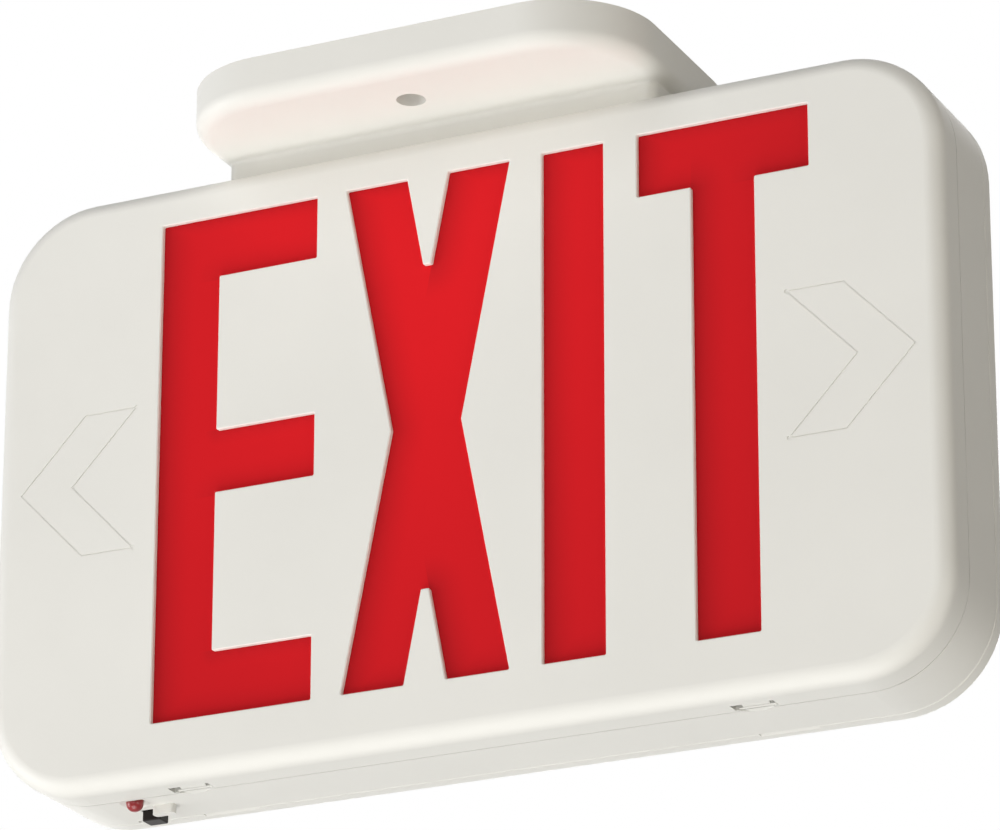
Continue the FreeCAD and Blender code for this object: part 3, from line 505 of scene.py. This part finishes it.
class EXITLIGHT_OT_legend(bpy.types.Operator):
    """Gives the legend panel its red, with painted light brighter towards the middle and painted shade
    along the letters' edges
    """

    bl_idname = "exitlight.legend"
    bl_label = "Legend panel"

    def execute(self, context):
        settings = context.scene.exitlight_legend
        material, tree, shader = new_material("legend_red", Specular_IOR_Level=0.02)
        low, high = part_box("legend_lens")
        middle = (low + high) / 2
        place = add(tree, "ShaderNodeTexCoord")
        # Painted light: the red is brightest round a point near the panel's middle and dims outwards.
        reach = add(tree, "ShaderNodeVectorMath", operation="DISTANCE",
                    values=[(1, middle + Vector(BRIGHTEST))], links=[(0, place.outputs["Object"])])
        outer = add(tree, "ShaderNodeMapRange",
                    values=[("From Min", GLOW_FADES_FROM), ("From Max", GLOW_FADES_TO)],
                    links=[("Value", reach.outputs["Value"])])
        red = mixed(tree, outer.outputs["Result"], settings.red, settings.painted_dim_red)
        recess_shade_group()
        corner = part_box("front_cover")[0] + Vector(LEGEND_CORNER)
        shade = None
        for start, end, inward, width, amount in letter_edges():
            run = Vector((end[0] - start[0], 0, end[1] - start[1]))
            edge = group_node(tree, "recess_shade",
                              values=[("Start", corner + Vector((start[0], 0, start[1]))),
                                      ("Along", run.normalized()), ("Inward", (inward[0], 0, inward[1])),
                                      ("Length", run.length), ("Reach", width), ("Amount", amount)],
                              links=[("Point", place.outputs["Object"])]).outputs["Shade"]
            shade = edge if shade is None else maths(tree, "MAXIMUM", shade, edge)
        keep = maths(tree, "SUBTRACT", 1.0, shade)
        pale = maths(tree, "SUBTRACT", 1.0, maths(tree, "MULTIPLY", shade, SHADE_ON_BLUE))
        lit = add(tree, "ShaderNodeCombineColor", links=[("Red", keep), ("Green", pale), ("Blue", pale)])
        red = mixed(tree, 1.0, red, lit.outputs["Color"], "MULTIPLY")
        tone = group_node(tree, "tone_drift", values=[("Amount", 0.05), ("Size", 0.05)],
                          links=[("Colour", red)])
        tree.links.new(tone.outputs["Colour"], shader.inputs["Base Color"])
        texture = group_node(tree, "mould_grain", values=[("Size", 0.0003), ("Height", 0.000006)])
        bump = add(tree, "ShaderNodeBump", values=[("Strength", 1.0), ("Distance", 1.0)],
                   links=[("Height", texture.outputs["Height"])])
        tree.links.new(bump.outputs["Normal"], shader.inputs["Normal"])
        shader.inputs["Roughness"].default_value = settings.roughness
        dress(material, "legend_lens")
        return {"FINISHED"}


class EXITLIGHT_OT_indicator(bpy.types.Operator):
    """Gives the charge indicator its clear red lens"""

    bl_idname = "exitlight.indicator"
    bl_label = "Charge indicator"

    def execute(self, context):
        settings = context.scene.exitlight_legend
        material, tree, shader = new_material("indicator_red", Roughness=0.28, Coat_Weight=0.2, IOR=1.5)
        tone = group_node(tree, "tone_drift",
                          values=[("Colour", (*settings.indicator, 1)), ("Amount", 0.3), ("Size", 0.003)])
        tree.links.new(tone.outputs["Colour"], shader.inputs["Base Color"])
        dress(material, "indicator_led")
        return {"FINISHED"}


class EXITLIGHT_OT_button(bpy.types.Operator):
    """Gives the test button and the switch their black finish"""

    bl_idname = "exitlight.button"
    bl_label = "Test button"

    def execute(self, context):
        moulding = context.scene.exitlight_moulding
        black = moulded_plastic("button_black", context.scene.exitlight_inside.button, moulding, 0.38,
                                drift=0.3, grain=0.8, Specular_IOR_Level=0.25)
        dress(black, "test_button", "test_switch")
        return {"FINISHED"}


def board_material(settings):
    """Circuit board: green solder mask over lighter tracks in a fine brick-like layout."""
    material, tree, shader = new_material("solder_mask", Roughness=0.3)
    place = add(tree, "ShaderNodeTexCoord")
    swap = add(tree, "ShaderNodeSeparateXYZ", links=[("Vector", place.outputs["Object"])])
    flat = add(tree, "ShaderNodeCombineXYZ", links=[("X", swap.outputs["X"]), ("Y", swap.outputs["Z"])])
    tracks = add(tree, "ShaderNodeTexBrick",
                 values=[("Scale", 1.0), ("Mortar Size", 0.0004), ("Brick Width", 0.011),
                         ("Row Height", 0.0032), ("Color1", (0, 0, 0, 1)), ("Color2", (0, 0, 0, 1)),
                         ("Mortar", (1, 1, 1, 1))],
                 links=[("Vector", flat.outputs["Vector"])])
    mask = maths(tree, "MULTIPLY", tracks.outputs["Color"], 0.5)
    tone = mixed(tree, mask, settings.board, tuple(level * 1.8 for level in settings.board))
    tree.links.new(tone, shader.inputs["Base Color"])
    return material


class EXITLIGHT_OT_electronics(bpy.types.Operator):
    """Finishes the boards, their components and the LED strips"""

    bl_idname = "exitlight.electronics"
    bl_label = "Boards and components"

    def execute(self, context):
        inside = context.scene.exitlight_inside
        moulding = context.scene.exitlight_moulding
        dress(board_material(inside), "charger_board", "switch_board")
        finishes = [
            ("strip_white", rgb(232, 232, 228), 0.35, ("led_strip_top", "led_strip_bottom")),
            ("led_phosphor", rgb(236, 214, 120), 0.25, ("led_packages_top", "led_packages_bottom")),
            ("core_lacquer", rgb(52, 50, 48), 0.4, ("transformer",)),
            ("capacitor_sleeve", rgb(24, 28, 60), 0.3, ("filter_capacitors",)),
            ("relay_case", rgb(40, 84, 150), 0.35, ("transfer_relay",)),
            ("connector_ivory", rgb(228, 218, 186), 0.5, ("battery_header", "battery_plug")),
            ("lead_sleeve", rgb(26, 26, 27), 0.45, ("battery_lead",)),
        ]
        for name, colour, roughness, nodes in finishes:
            dress(moulded_plastic(name, colour, moulding, roughness, drift=0.15, grain=0.5), *nodes)
        glass, tree, shader = new_material("fuse_glass", Roughness=0.05, IOR=1.45, Transmission_Weight=0.8)
        tone = group_node(tree, "tone_drift",
                          values=[("Colour", (0.9, 0.92, 0.92, 1)), ("Amount", 0.1), ("Size", 0.004)])
        tree.links.new(tone.outputs["Colour"], shader.inputs["Base Color"])
        dress(glass, "fuse_link")
        return {"FINISHED"}


class EXITLIGHT_OT_battery(bpy.types.Operator):
    """Finishes the battery pack and its strap"""

    bl_idname = "exitlight.battery"
    bl_label = "Battery"

    def execute(self, context):
        inside = context.scene.exitlight_inside
        wrap = moulded_plastic("battery_wrap", inside.battery, context.scene.exitlight_moulding, 0.28,
                               drift=0.2, grain=1.5, Coat_Weight=0.3)
        dress(wrap, "battery_pack")
        dress(plated_steel("zinc_plate", inside.steel), "battery_strap", "strap_screws", "board_screws",
              "reflector_screws", "canopy_screws")
        return {"FINISHED"}


def lamp(name, place, aim, size, power, colour):
    """A square area lamp at a place, pointing at a point."""
    data = bpy.data.lights.new(name, "AREA")
    data.shape = "SQUARE"
    data.size = size
    data.energy = power
    data.color = colour
    made = bpy.data.objects.new(name, data)
    bpy.context.scene.collection.objects.link(made)
    made.location = place
    made.rotation_mode = "QUATERNION"
    made.rotation_quaternion = (aim - place).to_track_quat("-Z", "Y")


def seen_rays(tree):
    """1 for rays from the camera, in reflections and through clear pieces, and 0 for others."""
    path = add(tree, "ShaderNodeLightPath")
    return maths(tree, "MAXIMUM", path.outputs["Is Camera Ray"],
                 maths(tree, "MAXIMUM", path.outputs["Is Glossy Ray"], path.outputs["Is Transmission Ray"]))


def studio_world(strength):
    """Even surroundings that show white to the camera and in reflections."""
    world = bpy.data.worlds.new("studio")
    bpy.context.scene.world = world
    world.use_nodes = True
    tree = world.node_tree
    tree.nodes.clear()
    level = maths(tree, "ADD", maths(tree, "MULTIPLY", seen_rays(tree), 1.0 - strength), strength)
    back = add(tree, "ShaderNodeBackground", values=[("Color", (1, 1, 1, 1))], links=[("Strength", level)])
    add(tree, "ShaderNodeOutputWorld", links=[("Surface", back.outputs["Background"])])


class EXITLIGHT_OT_stage(bpy.types.Operator):
    """Sets up the floor, the lamps, the surroundings and the camera"""

    bl_idname = "exitlight.stage"
    bl_label = "Studio"

    def execute(self, context):
        studio = context.scene.exitlight_studio
        middle = (CAD_LOW + CAD_HIGH) / 2
        side = np.linspace(-FLOOR_REACH, FLOOR_REACH, FLOOR_STEPS)
        across, along = np.meshgrid(side, side, indexing="ij")
        points = np.stack([across, along, np.full_like(across, -studio.floor_drop)], axis=-1)
        mesh = bpy.data.meshes.new("floor")
        mesh.from_pydata(points.reshape(-1, 3).tolist(), [],
                         grid_faces(FLOOR_STEPS, FLOOR_STEPS)[:, ::-1].tolist())
        floor = bpy.data.objects.new("floor", mesh)
        context.scene.collection.objects.link(floor)
        pale, tree, shader = new_material("floor_pale", Roughness=0.9, Specular_IOR_Level=0.1)
        tone = group_node(tree, "tone_drift",
                          values=[("Colour", (*studio.floor, 1)), ("Amount", 0.02), ("Size", 1.0)])
        tree.links.new(tone.outputs["Colour"], shader.inputs["Base Color"])
        tree.links.new(tone.outputs["Colour"], shader.inputs["Emission Color"])
        glow = maths(tree, "MULTIPLY", seen_rays(tree), studio.glow)
        tree.links.new(glow, shader.inputs["Emission Strength"])
        floor.data.materials.append(pale)
        floor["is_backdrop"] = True
        plain = (1.0, 1.0, 1.0)
        mellow = (1.0, 0.99, 0.965)
        warm = (1.0, 0.93, 0.81)
        for name, offset, size, power, colour in (
                ("side_lamp", (-1.35, -0.55, -0.4), 0.85, studio.side, plain),
                ("front_lamp", (0.2, -2.2, 0.3), 1.6, studio.front, mellow),
                ("under_lamp", (-0.1, -0.62, -1.6), 1.4, studio.under, mellow),
                ("top_lamp", (-0.5, -0.95, 0.8), 0.6, studio.top, plain),
                ("right_lamp", (1.9, -0.75, -0.1), 1.0, studio.right, warm),
                ("back_lamp", (-0.6, 2.1, 0.5), 1.6, studio.back, mellow)):
            lamp(name, middle + Vector(offset), middle, size, power, colour)
        studio_world(studio.ambient)
        data = bpy.data.cameras.new("camera")
        data.sensor_width = 36.0
        data.lens = studio.lens
        data.clip_start = 0.05
        camera = bpy.data.objects.new("camera", data)
        context.scene.collection.objects.link(camera)
        sin_y, cos_y = math.sin(studio.yaw), math.cos(studio.yaw)
        sin_p, cos_p = math.sin(studio.pitch), math.cos(studio.pitch)
        forward = Vector((-sin_y * cos_p, cos_y * cos_p, sin_p))
        level = Vector((cos_y, sin_y, 0))
        rise = Vector((sin_y * sin_p, -cos_y * sin_p, cos_p))
        right = level * math.cos(studio.roll) + rise * math.sin(studio.roll)
        up = rise * math.cos(studio.roll) - level * math.sin(studio.roll)
        turn = Matrix((right, up, -forward)).transposed().to_4x4()
        camera.matrix_world = Matrix.Translation(Vector(studio.place)) @ turn
        context.scene.camera = camera
        context.scene.view_settings.view_transform = "Standard"
        return {"FINISHED"}


class EXITLIGHT_PT_panel(bpy.types.Panel):
    """Sidebar panel that lists the light's operators"""

    bl_idname = "EXITLIGHT_PT_panel"
    bl_label = "Exit Light"
    bl_space_type = "VIEW_3D"
    bl_region_type = "UI"
    bl_category = "Exit Light"

    def draw(self, context):
        for operator in OPERATORS:
            self.layout.operator(operator.bl_idname)


SETTINGS = {
    "exitlight_moulding": MouldingSettings,
    "exitlight_legend": LegendSettings,
    "exitlight_inside": InsideSettings,
    "exitlight_studio": StudioSettings,
}
OPERATORS = (
    EXITLIGHT_OT_mouldings,
    EXITLIGHT_OT_neck_root,
    EXITLIGHT_OT_legend,
    EXITLIGHT_OT_indicator,
    EXITLIGHT_OT_button,
    EXITLIGHT_OT_electronics,
    EXITLIGHT_OT_battery,
    EXITLIGHT_OT_stage,
)
CLASSES = (*SETTINGS.values(), *OPERATORS, EXITLIGHT_PT_panel)


def register():
    """Registers the settings, the operators and the panel."""
    for cls in CLASSES:
        bpy.utils.register_class(cls)
    for name, cls in SETTINGS.items():
        setattr(bpy.types.Scene, name, PointerProperty(type=cls))


def unregister():
    """Takes everything that register added away again."""
    for name in SETTINGS:
        delattr(bpy.types.Scene, name)
    for cls in reversed(CLASSES):
        bpy.utils.unregister_class(cls)


def main():
    """Runs every operator in order."""
    register()
    for operator in OPERATORS:
        category, name = operator.bl_idname.split(".")
        getattr(getattr(bpy.ops, category), name)()


if __name__ == "__main__":
    main()
